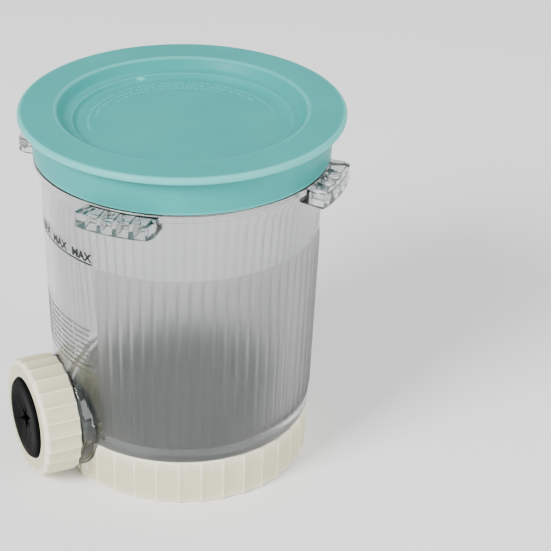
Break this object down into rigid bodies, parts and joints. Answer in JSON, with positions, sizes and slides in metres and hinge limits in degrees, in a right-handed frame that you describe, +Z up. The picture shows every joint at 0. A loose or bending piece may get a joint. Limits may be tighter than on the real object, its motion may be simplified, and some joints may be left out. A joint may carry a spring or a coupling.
{
  "type": "ice cream maker dispensing cup",
  "caption": "Clear reeded soft-serve cup with locking lugs, a press-on lid, a push-on scalloped base and a side spout whose screw ring holds a star nozzle.",
  "frame": {"origin": "on the cup's axis, in the plane that the base rests on", "axes": "+Z up along the cup's axis, -Y along the spout's axis and out of the cup"},
  "size_m": [0.1124, 0.1179, 0.133],
  "materials": {
    "clear_cup": "clear, polished, with a reeded wall",
    "lid_plastic": "satin teal",
    "cream_plastic": "fine matt, moulded",
    "black_silicone": "soft satin",
    "grey_silicone": "soft satin"
  },
  "bodies": {
    "base": {"base_cap": "cream_plastic", "base_seal": "grey_silicone"},
    "cup": {"cup_body": "clear_cup"},
    "nozzle": {"star_nozzle": "black_silicone"},
    "ring": {"nozzle_ring": "cream_plastic"},
    "lid": {"storage_lid": "lid_plastic"}
  },
  "joints": [
    {"name": "cup_lift", "type": "slide", "parent": "base", "child": "cup", "axis": [0, 0, 1], "range_m": [0, 0.045]},
    {"name": "lid_lift", "type": "slide", "parent": "cup", "child": "lid", "axis": [0, 0, 1], "range_m": [0, 0.04]},
    {"name": "nozzle_out", "type": "slide", "parent": "cup", "child": "nozzle", "axis": [0, -1, 0], "range_m": [0, 0.0125]},
    {"name": "ring_turn", "type": "hinge", "parent": "nozzle", "child": "ring", "pos_m": [0, -0.054, 0.0224], "axis": [0, -1, 0], "range_deg": [0, 720]}
  ],
  "couplings": [
    {"joint": "nozzle_out", "follows": "ring_turn", "m_per_rad": 0.00095493}
  ]
}
